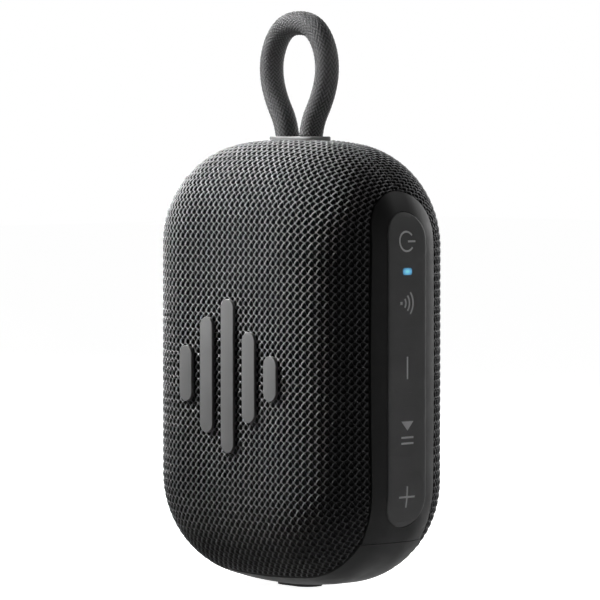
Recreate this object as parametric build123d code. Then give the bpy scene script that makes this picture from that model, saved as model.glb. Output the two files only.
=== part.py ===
from build123d import *
import math
import os

# A palm-size waterproof speaker that stands on a small foot, with a strap loop on top.
# +Z is up, the front grille faces -Y and the keys are on the +X side.
# Everything is modelled about the middle of the body and raised as it is written,
# so that the foot's bottom face is at z = 0.

# Body, in millimetres
BODY_WIDTH = 83.3
BODY_DEPTH = 51.1
BODY_HEIGHT = 120.0
CORNER_RADIUS = 28.0  # outline corners, seen from the front
CROWN_RADIUS = 136.0  # outline top and bottom, seen from the front
RIM_RADIUS = 22.9  # rounding from the outline to the front and rear faces
FOOT_DROP = 0.7  # how far the foot stands below the body
MID_HEIGHT = FOOT_DROP + BODY_HEIGHT / 2

# Layers of the body, as depths below its skin
FABRIC = 0.9
WALL_INSIDE = 2.9
GRILLE_INSIDE = 2.2
BASE_INSIDE = 1.7
SPLIT_Y = -13.0  # plane where the front baffle meets the main housing
TRIM_GAP = 0.2  # round the trim that stands in the fabric
SLIP = 0.05  # round a piece that slides or drops in

# Control strip and its keys, on the +X side
STRIP_HALF = 11.5
STRIP_HALF_LOW = 10.7
STRIP_HALF_HIGH = 11.1
STRIP_SEAM_Z = -46.3
STRIP_SHOULDER_Z = 35.2  # where the strip's round top end begins
STRIP_LEDGE = 1.6  # how much wider the strip's face is than its body
PANEL_WIDTH = 13.8
PANEL_LENGTH = 83.2
PANEL_Z = -0.6
PANEL_DEPTH = 1.8
KEY_WIDTH, KEY_LENGTH, KEY_CORNER, KEY_DEPTH = 11.2, 13.0, 3.5, 1.2
KEY_HEIGHTS = {"power": 33.2, "pair": 17.0, "minus": 0.0, "play": -17.0, "plus": -34.0}
STEM_RADIUS, STEM_HOLE_RADIUS = 1.5, 1.8
LED_Z, LED_WIDTH, LED_HEIGHT, LED_CORNER = 25.3, 3.3, 1.85, 0.6
KEY_BOARD_X, KEY_BOARD_THICK, KEY_BOARD_HALF_Y, KEY_BOARD_HALF_Z = 33.5, 1.0, 8.0, 41.0
SWITCH_SIZE, SWITCH_TALL = 4.5, 1.6
BUTTON_RADIUS, BUTTON_PROUD, BUTTON_SUNK, BUTTON_WELL = 1.0, 0.8, 0.5, 1.2

# Base cap and foot
BASE_HALF = 13.4  # half-width of the base in the middle
BASE_SIDE_RADIUS = 244.0  # plan curve of the base's long sides
BASE_LEFT_X = -36.0
FOOT_LENGTH, FOOT_WIDTH = 14.0, 8.0

# Driver, behind the front, on an axis along Y
DRIVER_Z = -3.0
DRIVER_HOLE = 21.0
GRILLE_RADIUS = 23.5
SEAT_Y = -19.5
FLANGE_FRONT, FLANGE_BACK = -18.9, -17.7
FLANGE_RADIUS, GASKET_BORE = 25.0, 22.0
DRIVER_SCREW_CIRCLE, DRIVER_SCREW_RADIUS = 23.5, 0.8

# Passive radiator, behind the rear
RADIATOR_Z = 6.0
RADIATOR_HOLE = 20.0
REAR_GRILLE_RADIUS = 21.8
RADIATOR_SEAT_Y = 19.5
RADIATOR_RING = 23.0

# Charging port, low on the rear
PORT_Z = -27.0
BEZEL_WIDTH, BEZEL_HEIGHT, BEZEL_CORNER, BEZEL_LEDGE = 28.0, 13.0, 4.0, 1.0
FLAP_WIDTH, FLAP_TOP_Z = 22.6, PORT_Z + 4.6
FLAP_INNER_Y, FLAP_OUTER_Y = 24.2, 25.5
PIN_Y, PIN_Z, PIN_RADIUS, KNUCKLE_RADIUS = 24.55, -31.1, 0.5, 0.95
SOCKET_WIDTH, SOCKET_HEIGHT, SOCKET_LENGTH, SOCKET_MOUTH_Y = 8.94, 3.26, 7.4, 21.6

# Boards and battery
BOARD_TOP = PORT_Z - 1.7
BOARD_THICK = 1.6
BOARD_HALF_X, BOARD_FRONT_Y, BOARD_REAR_Y = 26.0, -13.0, 18.0
RAIL_INNER_X = 23.5
CELL_Z, CELL_RADIUS, CELL_HALF = 38.0, 9.1, 25.0

# Housing screws: places as (x, z)
SCREW_RIGHT = [(29.5, 14.0), (29.5, -20.0), (16.0, 50.5), (16.0, -50.0)]
SCREW_PLACES = [(side * x, z) for x, z in SCREW_RIGHT for side in (1, -1)]
SCREW_RADIUS, SCREW_HEAD_RADIUS, SCREW_HEAD_TALL = 1.1, 2.2, 1.6
BOSS_RADIUS, SCREW_SEAT_Y, SCREW_END_Y = 3.0, 1.0, -16.0

# Strap: the loop's centre line on the +X side, from inside the anchor to the top
STRAP_RADIUS = 3.1
STRAP_CLEARANCE = 0.25  # in the plate, where the strands start to lean apart
STRAP_POINTS = [(4.4, 52.0), (4.4, 63.0), (9.4, 72.0), (11.3, 80.0), (9.4, 87.3), (4.4, 91.4)]
PLATE_LENGTH, PLATE_WIDTH, PLATE_TOP = 20.0, 9.0, 60.6
NECK_LENGTH, NECK_WIDTH, NECK_BOTTOM = 18.0, 8.0, 55.5
ANCHOR_LENGTH, ANCHOR_WIDTH, ANCHOR_BOTTOM = 26.0, 12.0, 50.5

# Front badge: plain bars of different heights
BADGE_Z, BADGE_PROUD = -3.0, 0.9
BAR_WIDTH, BAR_PITCH, BAR_HEIGHTS = 5.0, 8.4, (15.0, 31.0, 41.0, 24.0, 12.0)


# ---------------------------------------------------------------- shared shapes


def outline(inset):
    """The body's outline as a face in the XZ plane, moved inward by inset."""
    corner_x = BODY_WIDTH / 2 - CORNER_RADIUS
    crown_z = BODY_HEIGHT / 2 - CROWN_RADIUS
    reach = CROWN_RADIUS - CORNER_RADIUS
    corner_z = crown_z + math.sqrt(reach**2 - corner_x**2)
    turn = math.atan2(corner_z - crown_z, corner_x)
    corner, crown = CORNER_RADIUS - inset, CROWN_RADIUS - inset

    def on_corner(angle):
        return (corner_x + corner * math.cos(angle), corner_z + corner * math.sin(angle))

    side, middle, join = on_corner(0), on_corner(turn / 2), on_corner(turn)
    top = (0, crown_z + crown)
    pieces = []
    for up in (1, -1):
        for right in (1, -1):
            points = [(right * x, 0, up * z) for x, z in (side, middle, join)]
            pieces.append(ThreePointArc(*points))
        ends = [(join[0], 0, up * join[1]), (0, 0, up * top[1]), (-join[0], 0, up * join[1])]
        pieces.append(ThreePointArc(*ends))
    for right in (1, -1):
        pieces.append(Line((right * side[0], 0, side[1]), (right * side[0], 0, -side[1])))
    return Face(Wire(pieces))


def block(inset):
    """The outline run straight through the body's depth, with square rims."""
    return extrude(outline(inset), amount=BODY_DEPTH / 2 - inset, both=True)


def envelope(inset):
    """Everything inside the body's skin moved inward by inset."""
    half = BODY_DEPTH / 2 - inset
    solid = block(inset)
    rims = [e for e in solid.edges() if abs(abs(e.center().Y) - half) < 0.01]
    return fillet(rims, RIM_RADIUS - inset)


SKINS = {}


def skin(inset):
    """envelope(inset), made once."""
    if inset not in SKINS:
        SKINS[inset] = envelope(inset)
    return SKINS[inset]


def layer(outer, inner):
    """The shell between two depths below the skin."""
    return skin(outer) - skin(inner)


def ring(outer, inner, low, high, centre_z=0.0):
    """A ring about an axis along Y, from y = low to y = high."""
    face = Plane((0, low, centre_z), z_dir=(0, 1, 0)) * Circle(outer)
    if inner:
        face -= Plane((0, low, centre_z), z_dir=(0, 1, 0)) * Circle(inner)
    return extrude(face, amount=high - low, dir=(0, 1, 0))


def rod(radius, start, end):
    """A round bar between two points."""
    start, end = Vector(*start), Vector(*end)
    along = end - start
    return extrude(Plane(start, z_dir=along) * Circle(radius), amount=along.length)


def box(x, y, z):
    """A box from its three (low, high) ranges."""
    middle = [(a + b) / 2 for a, b in (x, y, z)]
    return Location(middle) * Box(x[1] - x[0], y[1] - y[0], z[1] - z[0])


def spun(points, centre_z):
    """A profile of (radius, y) points turned about the axis along Y at centre_z."""
    face = make_face(Polyline(*[(r, y) for r, y in points], close=True))
    return Location((0, 0, centre_z)) * revolve(face, axis=Axis.Y)


def write(name, *solids):
    """Raise the node's solids onto the foot and write them."""
    shape = solids[0] if len(solids) == 1 else Compound(children=list(solids))
    export_step(Location((0, 0, MID_HEIGHT)) * shape, f"parts/{name}.step")


# ---------------------------------------------------------------- trim outlines


def strip_prism(grow):
    """The control strip's outline run along +X: straight seam below, round end above."""
    low_z, shoulder_z = STRIP_SEAM_Z - grow, STRIP_SHOULDER_Z
    low, mid, high = (h + grow for h in (STRIP_HALF_LOW, STRIP_HALF, STRIP_HALF_HIGH))
    top_z = shoulder_z + high
    edges = [
        Line((0, -low, low_z), (0, low, low_z)),
        ThreePointArc((0, low, low_z), (0, mid, 0), (0, high, shoulder_z)),
        ThreePointArc((0, high, shoulder_z), (0, 0, top_z), (0, -high, shoulder_z)),
        ThreePointArc((0, -high, shoulder_z), (0, -mid, 0), (0, -low, low_z)),
    ]
    return extrude(Face(Wire(edges)), amount=BODY_WIDTH, dir=(1, 0, 0))


def base_prism(grow):
    """The base's plan outline run downward: long curved sides and a round left end."""
    right_x = BODY_WIDTH / 2 + 1
    side = BASE_HALF + grow

    def half(x):
        return side - x * x / (2 * BASE_SIDE_RADIUS)

    left_x = BASE_LEFT_X + half(BASE_LEFT_X)
    edges = [
        Line((right_x, -half(right_x), 0), (right_x, half(right_x), 0)),
        ThreePointArc((right_x, half(right_x), 0), (0, side, 0), (left_x, half(left_x), 0)),
        ThreePointArc((left_x, half(left_x), 0), (BASE_LEFT_X - grow, 0, 0), (left_x, -half(left_x), 0)),
        ThreePointArc((left_x, -half(left_x), 0), (0, -side, 0), (right_x, -half(right_x), 0)),
    ]
    return extrude(Face(Wire(edges)), amount=BODY_HEIGHT, dir=(0, 0, -1))


def base_zone(grow):
    """Where the base lies: its plan outline, below the strip's seam."""
    top = STRIP_SEAM_Z + grow
    return base_prism(grow) & box((-60, 60), (-40, 40), (-80, top))


def oval_prism(length, width, low, high):
    """A vertical slot-shaped prism on the body's axis."""
    return extrude(Plane.XY.offset(low) * SlotOverall(length, width), amount=high - low)


def panel_prism(grow):
    """The keypad panel's outline run along +X."""
    slot = SlotOverall(PANEL_LENGTH + 2 * grow, PANEL_WIDTH + 2 * grow)
    return extrude(Plane.YZ * Location((0, PANEL_Z)) * Rotation(0, 0, 90) * slot, amount=BODY_WIDTH)


def key_prism(z, grow):
    """One key's outline run along +X."""
    face = RectangleRounded(KEY_WIDTH + 2 * grow, KEY_LENGTH + 2 * grow, KEY_CORNER + grow)
    return extrude(Plane.YZ * Location((0, z)) * face, amount=BODY_WIDTH)


def lens_prism(grow, low, high):
    """The light pipe's outline run along X."""
    face = RectangleRounded(LED_WIDTH + 2 * grow, LED_HEIGHT + 2 * grow, LED_CORNER + grow)
    return extrude(Plane.YZ.offset(low) * Location((0, LED_Z)) * face, amount=high - low)


def port_prism(width, height, corner, low, high, centre_z=PORT_Z):
    """A rounded rectangle on the rear face, run along Y from low to high."""
    face = RectangleRounded(width, height, corner)
    plane = Plane((0, low, centre_z), x_dir=(1, 0, 0), z_dir=(0, 1, 0))
    return extrude(plane * face, amount=high - low)


# ---------------------------------------------------------------- body


def fabric_sleeve():
    """The knitted sleeve, open where the trim stands through it."""
    sleeve = layer(0, FABRIC)
    sleeve -= strip_prism(TRIM_GAP)
    sleeve -= base_zone(TRIM_GAP)
    sleeve -= oval_prism(PLATE_LENGTH + 2 * TRIM_GAP, PLATE_WIDTH + 2 * TRIM_GAP, 40, 70)
    grown = (BEZEL_WIDTH + 2 * TRIM_GAP, BEZEL_HEIGHT + 2 * TRIM_GAP, BEZEL_CORNER + TRIM_GAP)
    sleeve -= port_prism(*grown, 15, 30)
    return sleeve


def screw_bosses(low, high):
    """Posts for the housing screws between two y planes, cut to the inside of the wall."""
    posts = [rod(BOSS_RADIUS, (x, low, z), (x, high, z)) for x, z in SCREW_PLACES]
    return [post & skin(WALL_INSIDE - 0.5) for post in posts]


def gasket_ring(low, high):
    """The seal's ring in the joint between the housing and the baffle."""
    return extrude(outline(4.2) - outline(5.0), amount=high - low).moved(Location((0, high, 0)))


def main_housing():
    """The deep rear shell: sides, back, top and bottom, open at the front."""
    shell = layer(FABRIC, WALL_INSIDE) & box((-60, 60), (SPLIT_Y, 40), (-80, 80))
    seat = ring(RADIATOR_RING + 0.5, RADIATOR_HOLE, RADIATOR_SEAT_Y, 25, RADIATOR_Z)
    shell += seat & skin(WALL_INSIDE - 0.5)
    for post in screw_bosses(SPLIT_Y, 24):
        shell += post
    below, above = BOARD_TOP - BOARD_THICK, BOARD_TOP
    for side in (1, -1):
        for low, high in ((below - 2, below), (above, above + 1.8)):
            ends = sorted((side * RAIL_INNER_X, side * 45))
            shell += box(ends, (8, 20), (low, high)) & skin(WALL_INSIDE - 0.5)
    shell -= ring(RADIATOR_HOLE, 0, 10, 30, RADIATOR_Z)
    shell -= ring(REAR_GRILLE_RADIUS + 0.2, 0, 10, 30, RADIATOR_Z) & layer(0, GRILLE_INSIDE)
    shell -= strip_prism(-STRIP_LEDGE + 0.15) & box((KEY_BOARD_X, 60), (-20, 20), (-60, 60))
    shell -= base_zone(-1.5) & layer(0, BASE_INSIDE)
    shell -= oval_prism(NECK_LENGTH + 0.1, NECK_WIDTH + 0.1, 50, 70)
    boss = (BEZEL_WIDTH - 2 * BEZEL_LEDGE + 0.1, BEZEL_HEIGHT - 2 * BEZEL_LEDGE + 0.1, BEZEL_CORNER - 1)
    shell -= port_prism(*boss, 15, 30)
    shell -= gasket_ring(SPLIT_Y - 0.5, SPLIT_Y + 0.5)
    for x, z in SCREW_PLACES:
        shell -= rod(SCREW_HEAD_RADIUS + 0.2, (x, SCREW_SEAT_Y, z), (x, 30, z))
        shell -= rod(SCREW_RADIUS + 0.2, (x, SPLIT_Y - 1, z), (x, SCREW_SEAT_Y, z))
    return shell


def front_baffle():
    """The shallow front shell that carries the driver."""
    shell = layer(FABRIC, WALL_INSIDE) & box((-60, 60), (-40, SPLIT_Y), (-80, 80))
    shell += ring(26, GASKET_BORE, -24, SEAT_Y, DRIVER_Z) & skin(WALL_INSIDE - 0.5)
    for post in screw_bosses(-24, SPLIT_Y):
        shell += post
    shell -= ring(DRIVER_HOLE, 0, -30, -10, DRIVER_Z)
    shell -= ring(GRILLE_RADIUS + 0.2, 0, -30, -10, DRIVER_Z) & layer(0, GRILLE_INSIDE)
    shell -= gasket_ring(SPLIT_Y - 0.5, SPLIT_Y + 0.5)
    for x, z in SCREW_PLACES:
        shell -= rod(SCREW_RADIUS, (x, SCREW_END_Y, z), (x, SPLIT_Y + 1, z))
    for x, z in driver_screw_places():
        shell -= rod(DRIVER_SCREW_RADIUS, (x, -22.5, z), (x, -15, z))
    return shell


def housing_screws():
    """Eight screws, with their heads deep in the posts and their threads in the baffle."""
    screws = []
    for x, z in SCREW_PLACES:
        head = rod(SCREW_HEAD_RADIUS, (x, SCREW_SEAT_Y, z), (x, SCREW_SEAT_Y + SCREW_HEAD_TALL, z))
        socket = Plane((x, SCREW_SEAT_Y + 0.7, z), z_dir=(0, 1, 0)) * RegularPolygon(1.1, 6)
        head -= extrude(socket, amount=2)
        screws.append(head + rod(SCREW_RADIUS, (x, SCREW_END_Y, z), (x, SCREW_SEAT_Y, z)))
    return screws


def grille(radius, centre_z, front):
    """A perforated disc in the wall, in rings of round holes."""
    low, high = (-30, -10) if front else (10, 30)
    disc = ring(radius, 0, low, high, centre_z) & layer(FABRIC, GRILLE_INSIDE)
    holes = [(0.0, 0.0)]
    pitch, hole_radius = 4.2, 1.45
    for turn in range(1, int((radius - 2) / pitch) + 1):
        for step in range(6 * turn):
            angle = 2 * math.pi * step / (6 * turn)
            holes.append((turn * pitch * math.cos(angle), turn * pitch * math.sin(angle)))
    drills = [rod(hole_radius, (x, low, centre_z + z), (x, high, centre_z + z)) for x, z in holes]
    return disc - drills


def front_badge():
    """Plain rounded bars that stand on the fabric."""
    bars = []
    for number, height in enumerate(BAR_HEIGHTS):
        x = (number - (len(BAR_HEIGHTS) - 1) / 2) * BAR_PITCH
        plane = Plane((x, 0, BADGE_Z), x_dir=(0, 0, 1), z_dir=(0, -1, 0))
        bar = extrude(plane * SlotOverall(height, BAR_WIDTH), amount=BODY_DEPTH)
        bars.append(bar & layer(-BADGE_PROUD, 0))
    return bars


# ---------------------------------------------------------------- keys


def control_strip():
    """The plain trim on the +X side, with a pocket for the keypad."""
    strip = strip_prism(0) & layer(0, FABRIC)
    strip += strip_prism(-STRIP_LEDGE) & layer(FABRIC, WALL_INSIDE)
    strip -= panel_prism(SLIP) - block(PANEL_DEPTH)
    for z in KEY_HEIGHTS.values():
        strip -= rod(STEM_HOLE_RADIUS, (30, 0, z), (50, 0, z))
    strip -= lens_prism(SLIP, 30, 50)
    return strip


def keypad_panel():
    """The soft panel, flat from front to back, with a window for each key."""
    panel = panel_prism(0) & (block(0) - block(PANEL_DEPTH))
    for z in KEY_HEIGHTS.values():
        panel -= key_prism(z, SLIP)
    panel -= lens_prism(SLIP, 30, 50)
    return panel


def button_tip():
    """X of the switch buttons' tips, where the key stems meet them."""
    return KEY_BOARD_X + KEY_BOARD_THICK + SWITCH_TALL + BUTTON_PROUD


def key(z):
    """A key flush with the panel, and its stem down to the switch."""
    cap = key_prism(z, 0) & (block(0) - block(KEY_DEPTH))
    return cap + (rod(STEM_RADIUS, (button_tip(), 0, z), (50, 0, z)) & block(KEY_DEPTH))


def switch_button(z):
    """The switch's own round button, sunk in its well."""
    top = KEY_BOARD_X + KEY_BOARD_THICK + SWITCH_TALL
    return rod(BUTTON_RADIUS, (top - BUTTON_SUNK, 0, z), (button_tip(), 0, z))


def tact_switches():
    """Five switch bodies with a well for the button."""
    low = KEY_BOARD_X + KEY_BOARD_THICK
    high = low + SWITCH_TALL
    half = SWITCH_SIZE / 2
    bodies = []
    for z in KEY_HEIGHTS.values():
        well = rod(BUTTON_RADIUS + SLIP, (high - BUTTON_WELL, 0, z), (high + 1, 0, z))
        bodies.append(box((low, high), (-half, half), (z - half, z + half)) - well)
    return bodies


def key_board():
    """The narrow circuit board behind the keys."""
    x = (KEY_BOARD_X, KEY_BOARD_X + KEY_BOARD_THICK)
    reach_y, reach_z = KEY_BOARD_HALF_Y, KEY_BOARD_HALF_Z
    return box(x, (-reach_y, reach_y), (-reach_z, reach_z))


def key_ribbon():
    """A flat flex from the key board down to the main board, with one bend."""
    thick, bend = 0.2, 2.0
    turn_x, turn_z = KEY_BOARD_X - bend, BOARD_TOP + bend
    upright = box((KEY_BOARD_X - thick, KEY_BOARD_X), (-4, 4), (turn_z, turn_z + 7))
    flat = box((22.5, turn_x), (-4, 4), (BOARD_TOP, BOARD_TOP + thick))
    elbow = ring(bend, bend - thick, -4, 4, 0).moved(Location((turn_x, 0, turn_z)))
    elbow &= box((turn_x, turn_x + 5), (-5, 5), (turn_z - 5, turn_z))
    return upright + flat + elbow


# ---------------------------------------------------------------- base and strap


def base_cap():
    """The smooth cap round the bottom, with a shallow step behind its edge."""
    cap = base_zone(0) & layer(0, FABRIC)
    cap += base_zone(-1.6) & layer(FABRIC, BASE_INSIDE)
    return cap - box((20, 60), (-40, 40), (STRIP_SEAM_Z - 0.15, -40))


def foot_pad():
    """A rubber pad under the cap."""
    low = -BODY_HEIGHT / 2 - FOOT_DROP
    pad = oval_prism(FOOT_LENGTH, FOOT_WIDTH, low, low + 3)
    return pad - skin(0)


def strap_plate():
    """The plate on top that the strap's two ends go through."""
    plate = oval_prism(PLATE_LENGTH, PLATE_WIDTH, 50, PLATE_TOP) - skin(FABRIC)
    plate += oval_prism(NECK_LENGTH, NECK_WIDTH, NECK_BOTTOM, PLATE_TOP)
    for side in (1, -1):
        x = side * STRAP_POINTS[0][0]
        plate -= rod(STRAP_RADIUS + STRAP_CLEARANCE, (x, 0, 40), (x, 0, 70))
    return plate


def strap_anchor():
    """The block under the top wall that holds the strap's ends."""
    anchor = oval_prism(ANCHOR_LENGTH, ANCHOR_WIDTH, ANCHOR_BOTTOM, 60) & skin(WALL_INSIDE)
    anchor -= oval_prism(NECK_LENGTH + 0.1, NECK_WIDTH + 0.1, NECK_BOTTOM, 70)
    for side in (1, -1):
        x, low = side * STRAP_POINTS[0][0], STRAP_POINTS[0][1]
        anchor -= rod(STRAP_RADIUS + SLIP, (x, 0, low), (x, 0, 70))
    return anchor


def cord(name, points, radius):
    """A round cord along straight runs joined by tangent arcs."""
    points = [Vector(*p) for p in points]
    runs = [b - a for a, b in zip(points, points[1:])]
    radii = []
    for before, after in zip(runs, runs[1:]):
        half_turn = math.radians(before.get_angle(after)) / 2
        radii.append(0.45 * min(before.length, after.length) / math.tan(half_turn))
    path = FilletPolyline(*points, radius=radii)
    start = Plane(path @ 0, z_dir=path % 0)
    tube = sweep(start * Circle(radius), path=path)
    print(name, "radii", [round(r, 1) for r in radii], "length", round(path.length, 1),
          "volume over section times length", round(tube.volume / (math.pi * radius**2 * path.length), 4))
    return tube


def strap_loop():
    """The braided cord's loop, standing in the XZ plane."""
    right = [(x, 0, z) for x, z in STRAP_POINTS]
    left = [(-x, y, z) for x, y, z in reversed(right)]
    return cord("strap_loop", right + left, STRAP_RADIUS)


# ---------------------------------------------------------------- port


def port_bezel():
    """The frame round the charging port, with a pocket for the flap."""
    bezel = port_prism(BEZEL_WIDTH, BEZEL_HEIGHT, BEZEL_CORNER, 15, 30) & layer(0, FABRIC)
    inner = (BEZEL_WIDTH - 2 * BEZEL_LEDGE, BEZEL_HEIGHT - 2 * BEZEL_LEDGE, BEZEL_CORNER - 1)
    bezel += port_prism(*inner, 15, 30) & layer(FABRIC, WALL_INSIDE)
    half = FLAP_WIDTH / 2 + 0.2
    bezel -= box((-half, half), (FLAP_INNER_Y - 0.15, 30), (PIN_Z, FLAP_TOP_Z + 0.2))
    bezel -= box((-half, half), (PIN_Y - KNUCKLE_RADIUS - 0.15, 30), (PIN_Z - 1.1, PIN_Z + 1.1))
    bezel -= port_prism(10.4, 4.0, 1.99, 15, 30)
    return bezel - flap_pin()


def port_flap():
    """The rubber flap: a plate, a knuckle on the pin and a plug for the opening."""
    half = FLAP_WIDTH / 2
    flap = box((-half, half), (FLAP_INNER_Y, FLAP_OUTER_Y), (PIN_Z, FLAP_TOP_Z))
    flap += rod(KNUCKLE_RADIUS, (-half, PIN_Y, PIN_Z), (half, PIN_Y, PIN_Z))
    flap += port_prism(9.2, 2.8, 1.39, FLAP_INNER_Y - 1.3, FLAP_INNER_Y)
    return flap - rod(PIN_RADIUS + SLIP, (-20, PIN_Y, PIN_Z), (20, PIN_Y, PIN_Z))


def flap_pin():
    """The steel pin that the flap turns on."""
    half = FLAP_WIDTH / 2 + 0.8
    return rod(PIN_RADIUS, (-half, PIN_Y, PIN_Z), (half, PIN_Y, PIN_Z))


def usb_socket():
    """The charging socket's metal shell, closed at its inner end."""
    low, high = SOCKET_MOUTH_Y - SOCKET_LENGTH, SOCKET_MOUTH_Y
    outer = port_prism(SOCKET_WIDTH, SOCKET_HEIGHT, SOCKET_HEIGHT / 2 - 0.01, low, high)
    inner = (SOCKET_WIDTH - 0.6, SOCKET_HEIGHT - 0.6, (SOCKET_HEIGHT - 0.6) / 2 - 0.01)
    return outer - port_prism(*inner, low + 1, high + 1)


def usb_tongue():
    """The contact tongue inside the socket."""
    low = SOCKET_MOUTH_Y - SOCKET_LENGTH + 1
    return box((-3.35, 3.35), (low, low + 5), (PORT_Z - 0.35, PORT_Z + 0.35))


# ---------------------------------------------------------------- electronics


def main_board():
    """The main circuit board, lying flat in the housing's rails."""
    x = (-BOARD_HALF_X, BOARD_HALF_X)
    return box(x, (BOARD_FRONT_Y, BOARD_REAR_Y), (BOARD_TOP - BOARD_THICK, BOARD_TOP))


def on_board(x, y, size_x, size_y, tall):
    """A rectangular component on the main board's top."""
    half_x, half_y = size_x / 2, size_y / 2
    return box((x - half_x, x + half_x), (y - half_y, y + half_y), (BOARD_TOP, BOARD_TOP + tall))


def capacitors():
    """Two round capacitors on the main board."""
    places = ((10.0, 7.0), (16.5, -7.0))
    return [rod(3.15, (x, y, BOARD_TOP), (x, y, BOARD_TOP + 5.4)) for x, y in places]


def battery_cell():
    """One round cell with a raised end contact."""
    can = rod(CELL_RADIUS, (-CELL_HALF, 0, CELL_Z), (CELL_HALF - 0.6, 0, CELL_Z))
    can = fillet(can.edges(), 0.8)
    return can + rod(3.2, (CELL_HALF - 0.6, 0, CELL_Z), (CELL_HALF, 0, CELL_Z))


def battery_cradle():
    """The saddle under the cell, with two arms to the rear wall."""
    saddle = box((-23, 23), (-10.5, 10.5), (26, 34))
    for side in (1, -1):
        saddle += box(sorted((side * 19, side * 23)), (10, 30), (29.5, 34)) & skin(WALL_INSIDE)
    return saddle - rod(CELL_RADIUS + SLIP, (-40, 0, CELL_Z), (40, 0, CELL_Z))


def battery_lead(side):
    """One insulated wire from the cell's end down to the main board."""
    points = [
        (side * CELL_HALF, 0, CELL_Z),
        (side * 29.5, 0, CELL_Z),
        (side * 29.0, 4.0, 29.0),
        (side * 23.5, 6.5, 21.0),
        (side * 22.8, 7.0, 2.0),
        (side * 23.2, 5.0, -16.0),
        (side * 23.2, 5.0, BOARD_TOP),
    ]
    return cord(f"battery lead {side}", points, 0.6)


def speaker_leads():
    """Two short wires from the driver's flange to the main board."""
    back_z = DRIVER_Z - 23
    wires = []
    for side in (1, -1):
        points = [(side * 2, FLANGE_BACK, back_z), (side * 2, -10.5, back_z), (side * 2, -10.5, BOARD_TOP)]
        wires.append(cord("speaker lead", points, 0.45))
    return wires


# ---------------------------------------------------------------- driver


def driver_screw_places():
    """The driver's four screws, on the diagonals of its flange."""
    reach = DRIVER_SCREW_CIRCLE / math.sqrt(2)
    return [(sx * reach, DRIVER_Z + sz * reach) for sx in (1, -1) for sz in (1, -1)]


def driver_gasket():
    """The foam ring between the flange and its seat."""
    gasket = ring(FLANGE_RADIUS, GASKET_BORE, SEAT_Y, FLANGE_FRONT, DRIVER_Z)
    for x, z in driver_screw_places():
        gasket -= rod(DRIVER_SCREW_RADIUS, (x, -22, z), (x, -15, z))
    return gasket


def driver_basket():
    """The pressed frame, with windows round its wall."""
    profile = [(20, -18.9), (25, -18.9), (25, -17.7), (21.2, -17.7), (17, -9.9), (17, -8.6), (9, -8.6),
               (9, -9.4), (14, -9.4), (14, -10.5), (16, -10.5), (19.9, -17.6)]
    basket = spun(profile, DRIVER_Z)
    for step in range(8):
        angle = math.radians(45 * step + 22.5)
        x, z = 30 * math.cos(angle), 30 * math.sin(angle)
        basket -= rod(2.3, (0.35 * x, -14, DRIVER_Z + 0.35 * z), (x, -14, DRIVER_Z + z))
    for x, z in driver_screw_places():
        basket -= rod(DRIVER_SCREW_RADIUS, (x, -22, z), (x, -15, z))
    return basket


def driver_screws():
    """Four small screws through the flange."""
    screws = []
    for x, z in driver_screw_places():
        head = rod(1.5, (x, FLANGE_BACK, z), (x, FLANGE_BACK + 1, z))
        screws.append(head + rod(DRIVER_SCREW_RADIUS, (x, -22, z), (x, FLANGE_BACK, z)))
    return screws


def roll(centre_r, radius, thick, y, side, lip_in, lip_out, centre_z):
    """A half-round roll with flat lips. side is -1 where it bulges to the front."""
    lip = y + side * thick
    inner = radius - thick
    section = Circle(radius).locate(Location((centre_r, y))) - Circle(inner).locate(Location((centre_r, y)))
    section &= Rectangle(2 * radius, radius).locate(Location((centre_r, y + side * radius / 2)))
    for low, high in ((lip_in, centre_r - inner), (centre_r + inner, lip_out)):
        section += Rectangle(high - low, thick).locate(Location(((low + high) / 2, (y + lip) / 2)))
    return Location((0, 0, centre_z)) * revolve(section, axis=Axis.Y)


def driver_surround():
    """The rubber roll round the cone."""
    return roll(18.35, 1.65, 0.35, FLANGE_FRONT, -1, 15.2, 21.8, DRIVER_Z)


def driver_cone():
    """The cone, from the surround down to the voice coil."""
    profile = [(15.4, -18.9), (16.6, -18.9), (16.6, -18.5), (7.45, -12.3), (7.45, -13.0)]
    return spun(profile, DRIVER_Z)


def dust_cap():
    """The dome in the middle of the cone."""
    radius, thick, front, rear = 18.7, 0.4, -16.2, -14.0
    dome = Sphere(radius) - Sphere(radius - thick)
    dome &= box((-20, 20), (-radius - 1, -radius + rear - front), (-20, 20))
    return Location((0, front + radius, DRIVER_Z)) * dome


def spider():
    """The corrugated disc that centres the coil."""
    crests = [(7.45, 0.0), (9.0, -0.6), (10.5, 0.5), (12.0, -0.6), (13.4, 0.0), (15.0, 0.0)]
    front = [(r, -10.85 + wave) for r, wave in crests]
    back = [(r, -10.5 + wave) for r, wave in reversed(crests)]
    return spun(front + back, DRIVER_Z)


def driver_back_plate():
    """The rear plate and the pole that stands on it."""
    return ring(15.5, 0, -1.8, 0.4, DRIVER_Z) + ring(6.6, 0, -8.6, -1.8, DRIVER_Z)


# ---------------------------------------------------------------- passive radiator


def radiator_plate():
    """The moving plate with its weight on the inside."""
    plate = ring(15.0, 0, 18.2, RADIATOR_SEAT_Y, RADIATOR_Z)
    return plate + ring(8.5, 0, 15.2, 18.2, RADIATOR_Z)


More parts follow.
